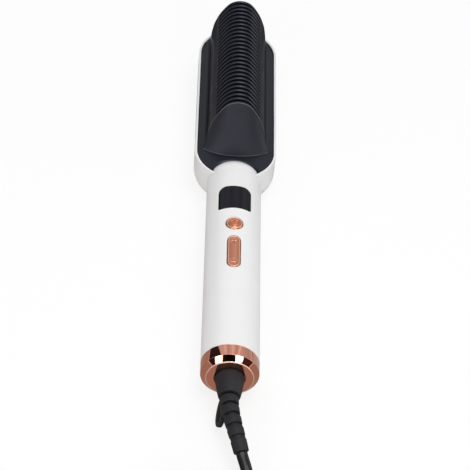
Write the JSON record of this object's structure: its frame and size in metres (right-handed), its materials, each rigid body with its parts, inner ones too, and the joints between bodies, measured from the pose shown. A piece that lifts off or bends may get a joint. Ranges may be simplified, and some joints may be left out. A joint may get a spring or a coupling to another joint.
{
  "type": "hot comb",
  "caption": "Heated straightening comb: round handle with display and buttons, deep oval head with arched guard fins over a heated comb, ringed end cap and mains cord on a swivel.",
  "frame": {"origin": "under the middle of the comb (without its cord), on the surface it lies on", "axes": "+Y along the handle to the tip of the head, +Z the comb side, +X to the right with the head pointing away"},
  "size_m": [0.0657, 0.638, 0.0615],
  "materials": {
    "white_plastic": "glossy white moulded plastic",
    "black_plastic": "satin charcoal moulded plastic",
    "coated_aluminium": "dark ceramic coating on cast metal",
    "ceramic": "fired, matt",
    "mica": "matt mica sheet",
    "steel": "plain zinc plated",
    "circuit_board": "satin green laminate",
    "lens_plastic": "smoked clear plastic, polished",
    "inner_plastic": "natural moulded plastic",
    "lead_rubber": "silicone insulation",
    "rose_gold": "polished rose gold plating on plastic",
    "brass": "bare contact metal",
    "black_rubber": "soft satin black",
    "tie_rubber": "soft black strap",
    "plug_plastic": "matt black moulded plastic",
    "pin_metal": "nickel plated brass"
  },
  "bodies": {
    "comb": {"lower_shell": "white_plastic", "front_cover": "white_plastic", "comb_guard": "black_plastic", "heated_comb": "coated_aluminium", "ceramic_heater": "ceramic", "mica_sheet": "mica", "heater_clamp": "steel", "clamp_screws": "steel", "thermistor": "ceramic", "thermal_fuse": "steel", "head_screws": "steel", "handle_screws": "steel", "control_board": "circuit_board", "board_screws": "steel", "display_module": "black_plastic", "display_lens": "lens_plastic", "power_switch": "black_plastic", "temperature_switches": "black_plastic", "rocker_pin": "steel", "controller_chip": "black_plastic", "power_triac": "black_plastic", "film_capacitor": "inner_plastic", "lead_connector": "inner_plastic", "heater_leads": "lead_rubber", "sensor_leads": "lead_rubber", "supply_leads": "lead_rubber", "end_cap": "rose_gold", "swivel_bush": "inner_plastic", "brush_holder": "inner_plastic", "contact_brushes": "brass"},
    "power_button": {"power_button": "rose_gold"},
    "temperature_rocker": {"temperature_rocker": "rose_gold"},
    "cord": {"strain_relief": "black_rubber", "contact_rings": "brass", "hang_loop": "black_rubber", "power_cord": "black_rubber", "cord_hank": "black_rubber", "cord_tie": "tie_rubber", "plug_body": "plug_plastic", "plug_pins": "pin_metal"}
  },
  "joints": [
    {"name": "power_button_press", "type": "slide", "parent": "comb", "child": "power_button", "axis": [0, 0, -1], "range_m": [0, 0.0004], "stiffness_N_per_m": 4000},
    {"name": "temperature_rocker_tilt", "type": "hinge", "parent": "comb", "child": "temperature_rocker", "pos_m": [0, -0.0692, 0.0305], "axis": [1, 0, 0], "range_deg": [-2, 2], "stiffness_Nm_per_rad": 0.39},
    {"name": "cord_swivel", "type": "hinge", "parent": "comb", "child": "cord", "pos_m": [0, -0.158, 0.018], "axis": [0, 1, 0], "continuous": true}
  ]
}
